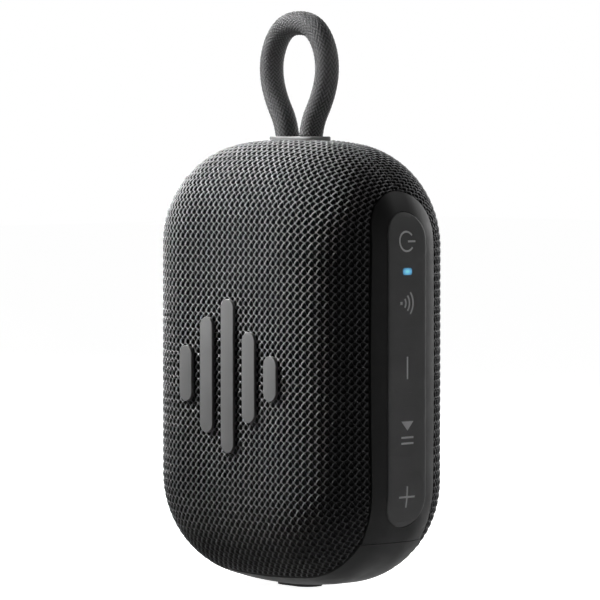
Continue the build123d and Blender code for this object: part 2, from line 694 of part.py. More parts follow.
def main():
    """Make every node and write it."""
    os.makedirs("parts", exist_ok=True)
    write("fabric_sleeve", fabric_sleeve())
    write("main_housing", main_housing())
    write("front_baffle", front_baffle())
    write("housing_gasket", gasket_ring(SPLIT_Y - 0.5, SPLIT_Y + 0.5))
    write("housing_screws", *housing_screws())
    write("front_grille", grille(GRILLE_RADIUS, DRIVER_Z, True))
    write("rear_grille", grille(REAR_GRILLE_RADIUS, RADIATOR_Z, False))
    write("front_badge", *front_badge())

    write("control_strip", control_strip())
    write("keypad_panel", keypad_panel())
    for name, z in KEY_HEIGHTS.items():
        write(f"key_{name}", key(z))
        write(f"switch_button_{name}", switch_button(z))
    write("tact_switches", *tact_switches())
    write("key_board", key_board())
    write("key_ribbon", key_ribbon())
    write("led_lens", lens_prism(0, KEY_BOARD_X + 1.8, 50) & block(0))
    on_key_board = (KEY_BOARD_X + KEY_BOARD_THICK, KEY_BOARD_X + KEY_BOARD_THICK + 0.6)
    write("status_led", box(on_key_board, (-0.8, 0.8), (LED_Z - 0.4, LED_Z + 0.4)))

    write("base_cap", base_cap())
    write("foot_pad", foot_pad())
    write("strap_plate", strap_plate())
    write("strap_anchor", strap_anchor())
    write("strap_loop", strap_loop())

    write("port_bezel", port_bezel())
    write("port_flap", port_flap())
    write("flap_pin", flap_pin())
    write("usb_socket", usb_socket())
    write("usb_tongue", usb_tongue())

    write("main_board", main_board())
    write("amplifier_chip", on_board(9.0, -3.5, 6, 6, 0.9))
    write("radio_module", on_board(-13.0, -2.0, 12, 15, 2.2))
    write("capacitors", *capacitors())
    write("battery_cell", battery_cell())
    write("battery_cradle", battery_cradle())
    write("battery_lead_red", battery_lead(1))
    write("battery_lead_black", battery_lead(-1))
    write("speaker_leads", *speaker_leads())

    write("driver_gasket", driver_gasket())
    write("driver_basket", driver_basket())
    write("driver_screws", *driver_screws())
    write("driver_surround", driver_surround())
    write("driver_cone", driver_cone())
    write("dust_cap", dust_cap())
    write("voice_coil_former", ring(7.45, 7.2, -13.4, -5.6, DRIVER_Z))
    write("voice_coil_winding", ring(7.85, 7.45, -9.6, -6.0, DRIVER_Z))
    write("spider", spider())
    write("driver_top_plate", ring(15.0, 8.2, -8.6, -6.2, DRIVER_Z))
    write("driver_magnet", ring(16.0, 9.5, -6.2, -1.8, DRIVER_Z))
    write("driver_back_plate", driver_back_plate())

    write("radiator_frame", ring(RADIATOR_RING, 19.0, 17.5, RADIATOR_SEAT_Y, RADIATOR_Z))
    write("radiator_surround", roll(16.6, 2.1, 0.45, RADIATOR_SEAT_Y, 1, 13.2, 19.9, RADIATOR_Z))
    write("radiator_plate", radiator_plate())


main()
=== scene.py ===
import math

import bpy
import bmesh
import numpy as np
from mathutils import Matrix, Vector


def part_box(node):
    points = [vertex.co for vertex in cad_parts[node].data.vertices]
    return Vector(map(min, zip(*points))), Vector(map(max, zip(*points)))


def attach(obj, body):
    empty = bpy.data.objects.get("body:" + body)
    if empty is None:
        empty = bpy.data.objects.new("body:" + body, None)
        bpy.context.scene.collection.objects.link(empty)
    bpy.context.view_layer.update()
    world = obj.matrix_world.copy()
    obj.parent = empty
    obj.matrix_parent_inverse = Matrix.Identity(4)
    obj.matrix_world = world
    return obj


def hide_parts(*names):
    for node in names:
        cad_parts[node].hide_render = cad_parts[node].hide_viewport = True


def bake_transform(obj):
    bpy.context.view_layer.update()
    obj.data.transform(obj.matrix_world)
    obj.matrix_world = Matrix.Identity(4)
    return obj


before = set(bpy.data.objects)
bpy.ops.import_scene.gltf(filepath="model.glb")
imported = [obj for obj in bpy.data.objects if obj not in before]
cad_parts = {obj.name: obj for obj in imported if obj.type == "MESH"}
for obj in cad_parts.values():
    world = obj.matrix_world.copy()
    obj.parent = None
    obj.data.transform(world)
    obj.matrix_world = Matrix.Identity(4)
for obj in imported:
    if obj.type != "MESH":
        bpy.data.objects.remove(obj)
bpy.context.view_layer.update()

MM = 0.001
KEYS = ("power", "pair", "minus", "play", "plus")

# Camera: degrees round the body from its front, degrees up, metres from the body's middle, how far
# above the middle it aims, and its focal length in millimetres
CAMERA_TURN = 47.4
CAMERA_LIFT = 3.5
CAMERA_DISTANCE = 1.044
CAMERA_AIM = 16.45 * MM
CAMERA_LENS = 231.7

# Body skin, in metres: the same rounded form as the CAD sleeve
SLEEVE_LOW, SLEEVE_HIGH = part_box("fabric_sleeve")
HALF_WIDTH = -SLEEVE_LOW[0]
HALF_DEPTH = SLEEVE_HIGH[1]
HALF_HEIGHT = 60 * MM
MIDDLE_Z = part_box("base_cap")[0][2] + HALF_HEIGHT
CORNER_RADIUS = 28 * MM
CROWN_RADIUS = 136 * MM
RIM_RADIUS = 22.9 * MM

# Trim outlines, about the middle of the body
STRIP_SEAM_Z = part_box("control_strip")[0][2] - MIDDLE_Z
STRIP_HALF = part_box("control_strip")[1][1]
STRIP_END_RADIUS = 11.1 * MM
STRIP_SEAM_HALF = 10.7 * MM
STRIP_SHOULDER_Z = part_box("control_strip")[1][2] - MIDDLE_Z - STRIP_END_RADIUS
BASE_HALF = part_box("base_cap")[1][1]
BASE_SIDE_RADIUS = 244 * MM
BASE_LEFT_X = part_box("base_cap")[0][0]
BASE_END_RADIUS = 10.7 * MM
PLATE_LOW, PLATE_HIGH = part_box("strap_plate")
BEZEL_LOW, BEZEL_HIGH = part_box("port_bezel")
BEZEL_CORNER = 4 * MM

# Strap: its cord, and the (x, z) points of its right side in millimetres about the middle of the body
STRAP_RADIUS = 3.25 * MM
STRAP_LEAN_X = -0.35 * MM
STRAP_SIDE = [(3.9, 52.0), (4.0, 62.4), (9.8, 71.6), (11.5, 79.6), (9.2, 86.8), (4.3, 91.1)]

# Knit: holes stand in columns, with every other column half a row lower. The pile falls to nothing at
# the yarn's depth, and the yarn is painted darker the lower it lies, as painted shade in the holes. Round
# each opening a hem of this width turns in, painted darker as painted shade, with holes up to the overlap
# past it.
HOLE_PITCH_X = 2.125 * MM
HOLE_PITCH_Z = 2.195 * MM
YARN_DEPTH = 0.75 * MM
HEM_WIDTH = 0.7 * MM
HEM_OVERLAP = 0.35 * MM

# Braid: points round the cord, strands each way, height of the relief, length of a full turn, and the
# step between the rings of points
BRAID_POINTS = 240
BRAID_STRANDS = 20
BRAID_RELIEF = 0.17 * MM
BRAID_LAY = 26 * MM
BRAID_STEP = 0.13 * MM

# Key caps: how much fuller than the CAD key, corner radius, and depth of the skirt
CAP_FULLER = 0.04 * MM
CAP_CORNER = 3.54 * MM
CAP_SKIRT = 0.9 * MM

# Printed ink: height above the key
INK_HEIGHT = 0.012 * MM

# Rounded edges of the keypad, the strap plate and the badge, and half the keypad's depth
PANEL_EDGE = 0.3 * MM
PLATE_EDGE = 0.4 * MM
BADGE_EDGE = 0.22 * MM
PANEL_HALF_DEPTH = 0.9 * MM

# Flexible rings: how many wedges each is cut into
RING_WEDGES = 16


# ---------------------------------------------------------------- small helpers


def lin(grey):
    """A linear value from an sRGB grey between 0 and 255."""
    value = grey / 255
    return value / 12.92 if value <= 0.04045 else ((value + 0.055) / 1.055) ** 2.4


def tone(red, green=None, blue=None):
    """A linear colour from sRGB levels; one level makes a grey."""
    levels = (red, red if green is None else green, red if blue is None else blue)
    return (*(lin(level) for level in levels), 1.0)


def new_object(name, data):
    """A new object in the scene."""
    piece = bpy.data.objects.new(name, data)
    bpy.context.scene.collection.objects.link(piece)
    return piece


def mesh_object(name, points, faces, smooth=True):
    """A mesh object from points in metres."""
    mesh = bpy.data.meshes.new(name)
    mesh.from_pydata([tuple(p) for p in points], [], faces)
    mesh.update()
    for polygon in mesh.polygons:
        polygon.use_smooth = smooth
    return new_object(name, mesh)


def wear(piece, material):
    """Give a piece one material on all its faces."""
    data = piece.data
    if not data.materials:
        data.materials.append(material)
    for number in range(len(data.materials)):
        data.materials[number] = material


# ---------------------------------------------------------------- materials


class Nodes:
    """A material's node tree, with short ways to add and join nodes."""

    def __init__(self, name, roughness, **values):
        self.material = bpy.data.materials.new(name)
        self.material.use_nodes = True
        self.tree = self.material.node_tree
        self.shader = self.tree.nodes["Principled BSDF"]
        self.shader.inputs["Roughness"].default_value = roughness
        for socket, value in values.items():
            self.shader.inputs[socket.replace("_", " ")].default_value = value
        self.place = self.add("ShaderNodeTexCoord").outputs["Object"]

    def add(self, kind, **settings):
        node = self.tree.nodes.new(kind)
        for name, value in settings.items():
            setattr(node, name, value)
        return node

    def join(self, output, socket):
        self.tree.links.new(output, socket)

    def noise(self, size, detail=3.0, stretch=(1, 1, 1)):
        """Noise whose features are about size metres."""
        mapping = self.add("ShaderNodeMapping")
        mapping.inputs["Scale"].default_value = stretch
        self.join(self.place, mapping.inputs["Vector"])
        noise = self.add("ShaderNodeTexNoise")
        noise.inputs["Scale"].default_value = 1 / size
        noise.inputs["Detail"].default_value = detail
        self.join(mapping.outputs["Vector"], noise.inputs["Vector"])
        return noise.outputs["Fac"]

    def spread(self, value, low, high, start=0.3, end=0.7):
        """A value mapped from start..end to low..high."""
        node = self.add("ShaderNodeMapRange")
        for name, number in (("From Min", start), ("From Max", end), ("To Min", low), ("To Max", high)):
            node.inputs[name].default_value = number
        self.join(value, node.inputs["Value"])
        return node.outputs["Result"]

    def blend(self, factor, first, second, socket="Base Color"):
        """Two colours mixed by a factor, into the shader."""
        mix = self.add("ShaderNodeMix", data_type="RGBA")
        self.join(factor, mix.inputs["Factor"])
        for target, colour in ((mix.inputs[6], first), (mix.inputs[7], second)):
            if isinstance(colour, tuple):
                target.default_value = colour
            else:
                self.join(colour, target)
        if socket:
            self.join(mix.outputs[2], self.shader.inputs[socket])
        return mix.outputs[2]

    def bump(self, height, depth, strength=1.0):
        """Relief of about depth metres."""
        node = self.add("ShaderNodeBump")
        node.inputs["Distance"].default_value = depth
        node.inputs["Strength"].default_value = strength
        self.join(height, node.inputs["Height"])
        self.join(node.outputs["Normal"], self.shader.inputs["Normal"])


def moulded(name, grey, roughness, grain=0.35 * MM, depth=0.012 * MM, tint=(0, 0, 0), **values):
    """Moulded plastic or rubber: fine spark-eroded grain and slightly uneven gloss."""
    nodes = Nodes(name, roughness, **values)
    dark, light = ([max(0, grey * share + t) for t in tint] for share in (0.94, 1.06))
    nodes.blend(nodes.noise(9 * MM, 2.0), tone(*dark), tone(*light))
    gloss = nodes.spread(nodes.noise(4 * MM), roughness - 0.05, roughness + 0.05)
    nodes.join(gloss, nodes.shader.inputs["Roughness"])
    nodes.bump(nodes.noise(grain, 2.0), depth)
    return nodes.material


def knit_yarn():
    """Dark grey yarn with fine filaments, with painted shade that goes to black down into the holes and
    along the hems.
    """
    nodes = Nodes("knit_yarn", 0.55, Specular_IOR_Level=0.06)
    pile_and_painted_shade = nodes.add("ShaderNodeAttribute", attribute_name="pile_and_painted_shade").outputs["Fac"]
    filament = nodes.noise(0.16 * MM, 2.0, (1.0, 1.0, 0.45))
    streak = nodes.blend(nodes.spread(filament, 0, 1), tone(106, 106, 107), tone(154, 154, 156), None)
    # Painted shade: black in the holes, rising to the yarn's own colour on the crests.
    nodes.blend(nodes.spread(pile_and_painted_shade, 0, 1, 0.46, 1.0), tone(1), streak)
    nodes.bump(filament, 0.05 * MM)
    return nodes.material


def braid_yarn():
    """Mid-grey braid with a soft sheen, and painted shade that darkens it between the strands."""
    nodes = Nodes("braid_yarn", 0.7, Specular_IOR_Level=0.15, Sheen_Weight=0.1, Sheen_Roughness=0.4)
    pile_and_painted_shade = nodes.add("ShaderNodeAttribute", attribute_name="pile_and_painted_shade").outputs["Fac"]
    filament = nodes.noise(0.2 * MM, 2.0)
    streak = nodes.blend(nodes.spread(filament, 0, 1), tone(30, 30, 31), tone(60, 60, 61), None)
    # Painted shade: darker where the strands dip between each other.
    nodes.blend(nodes.spread(pile_and_painted_shade, 0, 1, 0.25, 0.85), tone(8), streak)
    nodes.bump(filament, 0.03 * MM)
    return nodes.material


def brushed(name, colour, roughness, stretch=(1, 1, 12)):
    """Turned or rolled metal with fine lines."""
    nodes = Nodes(name, roughness, Metallic=1.0)
    darker = tuple(channel * 0.82 for channel in colour[:3]) + (1.0,)
    lines = nodes.noise(0.5 * MM, 3.0, stretch)
    nodes.blend(lines, darker, colour)
    nodes.join(nodes.spread(lines, roughness - 0.08, roughness + 0.08), nodes.shader.inputs["Roughness"])
    nodes.bump(lines, 0.004 * MM)
    return nodes.material


def lamp_lens():
    """A lit light pipe: brightest in the middle."""
    nodes = Nodes("lamp_lens", 0.3, Emission_Strength=0.62)
    low, high = (Vector(corner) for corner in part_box("led_lens"))
    half = (high - low) / 2
    from_middle = nodes.add("ShaderNodeVectorMath", operation="SUBTRACT")
    nodes.join(nodes.place, from_middle.inputs[0])
    from_middle.inputs[1].default_value = (low + high) / 2
    in_halves = nodes.add("ShaderNodeVectorMath", operation="DIVIDE")
    nodes.join(from_middle.outputs["Vector"], in_halves.inputs[0])
    in_halves.inputs[1].default_value = (1, half.y, half.z)
    far = nodes.add("ShaderNodeVectorMath", operation="LENGTH")
    nodes.join(in_halves.outputs["Vector"], far.inputs[0])
    glow = nodes.spread(far.outputs["Value"], 0, 1, 0.25, 1.25)
    nodes.blend(glow, tone(110, 190, 235), tone(20, 80, 120))
    nodes.blend(glow, tone(130, 226, 255), tone(14, 96, 150), "Emission Color")
    return nodes.material


def solder_mask():
    """Green circuit board with faint tracks."""
    nodes = Nodes("solder_mask", 0.35, Coat_Weight=0.3)
    tracks = nodes.add("ShaderNodeTexBrick", offset=0.5)
    tracks.inputs["Scale"].default_value = 260
    tracks.inputs["Mortar Size"].default_value = 0.03
    nodes.join(nodes.place, tracks.inputs["Vector"])
    nodes.blend(tracks.outputs["Fac"], tone(12, 62, 34), tone(30, 96, 52))
    nodes.bump(tracks.outputs["Fac"], 0.02 * MM)
    return nodes.material


# ---------------------------------------------------------------- camera, light, floor


def direction(turn, lift):
    """The way out from the body, turn degrees round from its front and lift degrees up."""
    turn, lift = math.radians(turn), math.radians(lift)
    return Vector((math.sin(turn) * math.cos(lift), -math.cos(turn) * math.cos(lift), math.sin(lift)))


def camera():
    """A long lens, almost level and turned towards the body's key side."""
    middle = Vector((0, 0, MIDDLE_Z))
    data = bpy.data.cameras.new("camera")
    data.lens, data.sensor_width = CAMERA_LENS, 36.0
    data.clip_start, data.clip_end = 0.05, 20
    eye = new_object("camera", data)
    eye.location = middle + direction(CAMERA_TURN, CAMERA_LIFT) * CAMERA_DISTANCE
    aim = middle + Vector((0, 0, CAMERA_AIM))
    eye.rotation_euler = (aim - eye.location).to_track_quat("-Z", "Y").to_euler()
    bpy.context.scene.camera = eye


def softbox(name, turn, lift, distance, size, power, aim=0.0, spread=180):
    """A rectangular light aimed at a height above the body's middle.

    turn is degrees round from the camera's side, positive to its right, and lift is degrees above level.
    """
    data = bpy.data.lights.new(name, "AREA")
    data.shape, data.energy, data.spread = "RECTANGLE", power, math.radians(spread)
    data.size, data.size_y = size
    lamp = new_object(name, data)
    toward = direction(CAMERA_TURN + turn, lift)
    target = Vector((0, 0, MIDDLE_Z + aim))
    lamp.location = target + toward * distance
    lamp.rotation_euler = (-toward).to_track_quat("-Z", "Y").to_euler()


def studio():
    """White surroundings, a pale floor and six soft lights."""
    scene = bpy.context.scene
    scene.view_settings.view_transform = "Standard"
    world = bpy.data.worlds.new("studio")
    world.use_nodes = True
    background = world.node_tree.nodes["Background"]
    background.inputs["Color"].default_value = (1, 1, 1, 1)
    background.inputs["Strength"].default_value = 1.0
    scene.world = world
    world.cycles_visibility.diffuse = False
    world.cycles_visibility.glossy = False
    pale_floor()
    softbox("key_light", -101, 34, 0.45, (0.15, 0.15), 0.55, 0.055, 20)
    softbox("top_light", -70, 60, 0.35, (0.25, 0.25), 0.03, 0.05, 60)
    softbox("back_light", -130, 50, 0.6, (0.3, 0.3), 0.35)
    softbox("rim_light", 132, 18, 0.6, (0.2, 0.35), 4.0)
    softbox("fill_light", 62, 15, 0.6, (0.3, 0.3), 0.4)
    softbox("strap_light", 10, 5, 0.6, (0.03, 0.03), 0.0048, 0.08, 5)


def pale_floor():
    """A white floor that lights the body only by its reflection, so that rough parts keep their shadows."""
    side = 3.0
    corners = [(-side, -side, 0), (side, -side, 0), (side, side, 0), (-side, side, 0)]
    floor = mesh_object("floor", corners, [(0, 1, 2, 3)])
    glow = {"Emission_Color": (1, 1, 1, 1), "Emission_Strength": 0.99}
    nodes = Nodes("pale_floor", 0.9, Specular_IOR_Level=0.0, **glow)
    nodes.blend(nodes.noise(0.4, 1.0), (0.93, 0.93, 0.93, 1), (0.95, 0.95, 0.95, 1))
    wear(floor, nodes.material)
    floor.visible_diffuse = False
    floor.visible_glossy = True


# ---------------------------------------------------------------- strap


def smooth_route(points, name):
    """Points along the NURBS spline that has these control points."""
    curve = bpy.data.curves.new(name, "CURVE")
    curve.dimensions = "3D"
    curve.resolution_u = 24
    spline = curve.splines.new("NURBS")
    spline.points.add(len(points) - 1)
    for target, point in zip(spline.points, points):
        target.co = (*point, 1)
    spline.order_u = 3
    spline.use_endpoint_u = True
    guide = bpy.data.objects.new(name, curve)
    line = bpy.data.meshes.new_from_object(guide)
    route = np.array([vertex.co[:] for vertex in line.vertices])
    bpy.data.objects.remove(guide)
    bpy.data.curves.remove(curve)
    bpy.data.meshes.remove(line)
    return route


def evenly(route, step):
    """The route again at even steps."""
    reach = np.concatenate([[0], np.cumsum(np.linalg.norm(np.diff(route, axis=0), axis=1))])
    count = int(reach[-1] / step) + 1
    places = np.linspace(0, reach[-1], count)
    return np.stack([np.interp(places, reach, route[:, axis]) for axis in range(3)], axis=1), places


def strap_loop(material):
    """The braided cord: a tube along its route with the relief of a two-over-two braid."""
    right = [(STRAP_LEAN_X + x * MM, 0, MIDDLE_Z + z * MM) for x, z in STRAP_SIDE]
    left = [(STRAP_LEAN_X - x * MM, 0, MIDDLE_Z + z * MM) for x, z in reversed(STRAP_SIDE)]
    route = smooth_route(right + left, "strap_route")
    line, places = evenly(route, BRAID_STEP)
    cord = new_object("strap_cord", braided_tube(line, places))
    wear(cord, material)
    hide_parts("strap_loop")
    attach(cord, "speaker_body")


def braided_tube(line, places):
    """A tube along a line of points, with places their distances along it and a braid's relief."""
    along = np.gradient(line, axis=0)
    along /= np.linalg.norm(along, axis=1, keepdims=True)
    across = np.array([0.0, 1.0, 0.0])
    outward = np.cross(along, across)
    angle = np.linspace(0, 2 * math.pi, BRAID_POINTS, endpoint=False)
    turn, reach = np.meshgrid(angle, places)
    one = BRAID_STRANDS * (turn / (2 * math.pi) + reach / BRAID_LAY)
    two = BRAID_STRANDS * (turn / (2 * math.pi) - reach / BRAID_LAY)
    over = np.mod(np.floor(one) + np.floor(two), 4) // 2
    crown_one = np.abs(np.sin(math.pi * np.mod(one, 1)))
    crown_two = np.abs(np.sin(math.pi * np.mod(two, 1)))
    one_on_top = crown_one * (0.55 + 0.45 * crown_two)
    two_on_top = crown_two * (0.55 + 0.45 * crown_one)
    pile_and_painted_shade = np.where(over > 0.5, one_on_top, two_on_top)
    radius = STRAP_RADIUS - BRAID_RELIEF * (1 - pile_and_painted_shade)
    ring = np.cos(turn)[..., None] * outward[:, None, :] + np.sin(turn)[..., None] * across
    points = (line[:, None, :] + radius[..., None] * ring).reshape(-1, 3)
    row = np.arange(len(line) - 1)[:, None] * BRAID_POINTS
    start = np.arange(BRAID_POINTS)
    low = (row + start).ravel()
    after = (row + (start + 1) % BRAID_POINTS).ravel()
    faces = np.stack([low, after, after + BRAID_POINTS, low + BRAID_POINTS], axis=1)
    mesh = grid_mesh("strap_loop", points, faces)
    # The relief is also stored for the braid's painted shade between the strands.
    attribute = mesh.attributes.new("pile_and_painted_shade", "FLOAT", "POINT")
    attribute.data.foreach_set("value", pile_and_painted_shade.ravel().astype(np.float32))
    return mesh


# ---------------------------------------------------------------- knitted sleeve


def grid_mesh(name, points, faces):
    """A mesh from numpy arrays of points and four-sided faces, shaded smooth."""
    mesh = bpy.data.meshes.new(name)
    mesh.vertices.add(len(points))
    mesh.vertices.foreach_set("co", points.astype(np.float32).ravel())
    mesh.loops.add(faces.size)
    mesh.loops.foreach_set("vertex_index", faces.astype(np.int32).ravel())
    mesh.polygons.add(len(faces))
    mesh.polygons.foreach_set("loop_start", np.arange(0, faces.size, faces.shape[1], dtype=np.int32))
    mesh.polygons.foreach_set("use_smooth", np.ones(len(faces), dtype=bool))
    mesh.update(calc_edges=True)
    return mesh


def skin_points(u, v):
    """Where flat cloth coordinates lie on the front half of the body, and the outward normals.

    The cloth is flat over the front face and bends over the rim, square to the face's edge.
    """
    core_x, core_z = HALF_WIDTH - CORNER_RADIUS, corner_height()
    crown_z = HALF_HEIGHT - CROWN_RADIUS
    flat_corner, flat_crown = CORNER_RADIUS - RIM_RADIUS, CROWN_RADIUS - RIM_RADIUS
    side, up = np.abs(u), np.abs(v)
    to_corner = np.stack([side - core_x, up - core_z], axis=-1)
    to_crown = np.stack([side, up - crown_z], axis=-1)
    corner_far = np.linalg.norm(to_corner, axis=-1)
    crown_far = np.linalg.norm(to_crown, axis=-1)
    in_crown = side * (core_z - crown_z) < core_x * (up - crown_z)
    beside = (up <= core_z) & ~in_crown
    reach = np.where(in_crown, crown_far - flat_crown, corner_far - flat_corner)
    reach = np.where(beside, side - core_x - flat_corner, reach)
    way = np.where(in_crown[..., None], to_crown / np.maximum(crown_far, 1e-9)[..., None],
                   to_corner / np.maximum(corner_far, 1e-9)[..., None])
    way = np.where(beside[..., None], np.array([1.0, 0.0]), way)
    way = way * np.stack([np.sign(u), np.sign(v)], axis=-1)
    bend = np.clip(reach / RIM_RADIUS, 0, math.pi / 2)
    past = np.maximum(reach - RIM_RADIUS * math.pi / 2, 0)
    moved = np.where(reach > 0, RIM_RADIUS * np.sin(bend) - reach, 0)
    flat = np.stack([u, v], axis=-1) + way * moved[..., None]
    y = -(HALF_DEPTH - RIM_RADIUS) - RIM_RADIUS * np.cos(bend) + past
    points = np.stack([flat[..., 0], y, flat[..., 1]], axis=-1)
    normals = np.stack([way[..., 0] * np.sin(bend), -np.cos(bend), way[..., 1] * np.sin(bend)], axis=-1)
    return points, normals


def corner_height():
    """Height of the outline's corner centres above the middle."""
    reach = CROWN_RADIUS - CORNER_RADIUS
    return HALF_HEIGHT - CROWN_RADIUS + math.sqrt(reach**2 - (HALF_WIDTH - CORNER_RADIUS) ** 2)


def trim_distance(points):
    """Distance from the nearest opening for the trim, negative inside it, on the skin."""
    x, y, z = points[..., 0], np.abs(points[..., 1]), points[..., 2]
    narrow = (STRIP_HALF - STRIP_SEAM_HALF) * (z / STRIP_SEAM_Z) ** 2
    strip_side = y - (STRIP_HALF - np.where(z < 0, narrow, 0.4 * narrow))
    strip_end = np.hypot(y, z - STRIP_SHOULDER_Z) - STRIP_END_RADIUS
    strip = np.where(z > STRIP_SHOULDER_Z, strip_end, strip_side)
    strip = np.where((x > 0) & (z > STRIP_SEAM_Z - MM), strip, 1.0)
    base_half = BASE_HALF - x * x / (2 * BASE_SIDE_RADIUS)
    left = BASE_LEFT_X + BASE_END_RADIUS
    base_end = np.hypot(x - left, y) - BASE_END_RADIUS
    base = np.where(x < left, base_end, y - base_half)
    base = np.where(z < STRIP_SEAM_Z + MM, base, 1.0)
    plate_round = (PLATE_HIGH[1] - PLATE_LOW[1]) / 2
    plate_run = (PLATE_HIGH[0] - PLATE_LOW[0]) / 2 - plate_round
    plate = np.hypot(np.maximum(np.abs(x) - plate_run, 0), y) - plate_round
    plate = np.where(z > 0.9 * HALF_HEIGHT, plate, 1.0)
    bezel_half = ((BEZEL_HIGH[0] - BEZEL_LOW[0]) / 2, (BEZEL_HIGH[2] - BEZEL_LOW[2]) / 2)
    bezel_z = (BEZEL_HIGH[2] + BEZEL_LOW[2]) / 2 - MIDDLE_Z
    beyond_x = np.maximum(np.abs(x) - bezel_half[0] + BEZEL_CORNER, 0)
    beyond_z = np.maximum(np.abs(z - bezel_z) - bezel_half[1] + BEZEL_CORNER, 0)
    bezel = np.hypot(beyond_x, beyond_z) - BEZEL_CORNER
    bezel = np.where(points[..., 1] > 0.8 * HALF_DEPTH, bezel, 1.0)
    return np.minimum(np.minimum(strip, base), np.minimum(plate, bezel))


def knit_cell(major):
    """One hole's four rings of (u, v, depth), from the yarn's crest down to the hole's floor.

    u and v are in hole pitches, depth is in metres. High yarn zigzags down the left of each major
    hole, which is the right of each minor one: a long rising stroke, then a short falling one.
    """
    sag = 0.17
    if major:
        corners = [(0.5, -sag), (0.0, 0.5), (-0.5, -sag), (0.0, -0.5)]
        crest_depths, long_stroke = (0.36, 0.0, 0.2, 0.36), 1
        hole = (-0.05, -0.03)
        floor_u, floor_v, floor_depth = 0.36, 0.60, 0.85
    else:
        corners = [(0.5, 0.0), (0.0, 0.5 - sag), (-0.5, 0.0), (0.0, -0.5 - sag)]
        crest_depths, long_stroke = (0.2, 0.36, 0.36, 0.0), 3
        hole = (-0.05, -0.13)
        floor_u, floor_v, floor_depth = 0.30, 0.54, 0.70
    crest = []
    for number, corner in enumerate(corners):
        after = corners[(number + 1) % 4]
        bow = (-0.05, 0.04) if number == long_stroke else (0.0, 0.0)
        between_u = (corner[0] + after[0]) / 2 + bow[0]
        between_v = (corner[1] + after[1]) / 2 + bow[1]
        crest.append((*corner, 0.08 * MM))
        crest.append((between_u, between_v, crest_depths[number] * MM))
    rings = list(crest)
    for share_u, share_v, drop in ((0.84, 0.87, 0.07), (0.60, 0.75, 0.32)):
        for u, v, depth in crest:
            wall_u = hole[0] + share_u * (u - hole[0])
            wall_v = hole[1] + share_v * (v - hole[1])
            rings.append((wall_u, wall_v, depth + drop * MM))
    for u, v, depth in crest:
        rise = floor_v * (v - hole[1])
        lean = 0.12 * rise
        rings.append((hole[0] + floor_u * (u - hole[0]) + lean, hole[1] + rise, floor_depth * MM))
    return np.array(rings)


def half_wrap(half):
    """Length of cloth from the middle of the front, over the rim, to the seam at half the depth."""
    return half - RIM_RADIUS + RIM_RADIUS * math.pi / 2 + HALF_DEPTH - RIM_RADIUS


def cloth_cells(front, major, columns, rows, step_u, step_v):
    """Points and pile heights (which set the painted shade) of one set of holes on one half of the body, as
    (hole, point) arrays.
    """
    shift = 0 if major else 1
    in_row = np.arange(-columns - shift, columns + 1, 2)
    in_column = np.arange(-rows - shift, rows + 1, 2)
    grid_u, grid_v = np.meshgrid(in_row, in_column)
    centre = np.stack([grid_u.ravel() * step_u, grid_v.ravel() * step_v], axis=1)
    cell = knit_cell(major)
    u = centre[:, None, 0] + cell[None, :, 0] * 2 * step_u
    v = centre[:, None, 1] + cell[None, :, 1] * 2 * step_v
    at, normal = skin_points(u, v)
    keep = at[..., 1].min(axis=1) < -1e-6
    at, normal = at[keep], normal[keep]
    at[..., 1] = np.minimum(at[..., 1], 0)
    if not front:
        at[..., 1] *= -1
        normal[..., 1] *= -1
    away = trim_distance(at)
    keep = away.max(axis=1) > -HEM_OVERLAP
    at, normal, away = at[keep], normal[keep], away[keep]
    tuck = np.clip(1 - away / HEM_WIDTH, 0, 1) ** 2
    depth = cell[None, :, 2] + YARN_DEPTH * tuck
    # Painted shade: the pile falls with the yarn's depth in the cell and is cut further along the hem, so
    # the turned-in edge is painted dark.
    pile_and_painted_shade = np.clip(1 - cell[None, :, 2] / YARN_DEPTH, 0, 1) * (1 - 0.8 * tuck)
    return at - normal * depth[..., None], pile_and_painted_shade


def cloth_mesh(columns, rows, step_u, step_v):
    """The cloth of all the holes: three bands of wall and a floor each, joined where they meet."""
    around, in_cell = 8, 32
    ring = np.arange(around)
    turned = np.roll(ring, -1)
    band = np.stack([ring, turned, turned + around, ring + around], axis=1)
    walls = np.concatenate([band, band + around, band + 2 * around])
    points, piles_and_painted_shade, faces, floors = [], [], [], []
    total = 0
    for front in (True, False):
        for major in (True, False):
            at, pile_and_painted_shade = cloth_cells(front, major, columns, rows, step_u, step_v)
            start = total + np.arange(len(at))[:, None] * in_cell
            order = walls if front else walls[:, ::-1]
            faces.append((start[..., None] + order[None]).reshape(-1, 4))
            floors.append(start + 3 * around + (ring if front else ring[::-1]))
            points.append(at.reshape(-1, 3))
            piles_and_painted_shade.append(pile_and_painted_shade.reshape(-1))
            total += len(at) * in_cell
    points, piles_and_painted_shade = np.concatenate(points), np.concatenate(piles_and_painted_shade)
    points[:, 2] += MIDDLE_Z
    # Points in the same small cube are one point. The offset keeps the cubes' sides off the seams.
    cube, offset = 0.02 * MM, 0.237
    keys = np.round(points / cube + offset).astype(np.int64)
    _, first, same = np.unique(keys, axis=0, return_index=True, return_inverse=True)
    same = same.ravel()
    quads, floors = same[np.concatenate(faces)], same[np.concatenate(floors)]
    thirds = [floors[:, [0, 1, 2, 3]], floors[:, [0, 3, 4, 7]], floors[:, [4, 5, 6, 7]]]
    quads = np.concatenate([quads, np.concatenate(thirds)])
    off_seam = np.abs(points[first][:, 1])[quads].max(axis=1) > 1e-6
    mesh = grid_mesh("knitted_sleeve", points[first], quads[off_seam])
    # Pile heights, kept for the yarn's painted shade.
    attribute = mesh.attributes.new("pile_and_painted_shade", "FLOAT", "POINT")
    attribute.data.foreach_set("value", piles_and_painted_shade[first].astype(np.float32))
    mesh.validate()
    return mesh


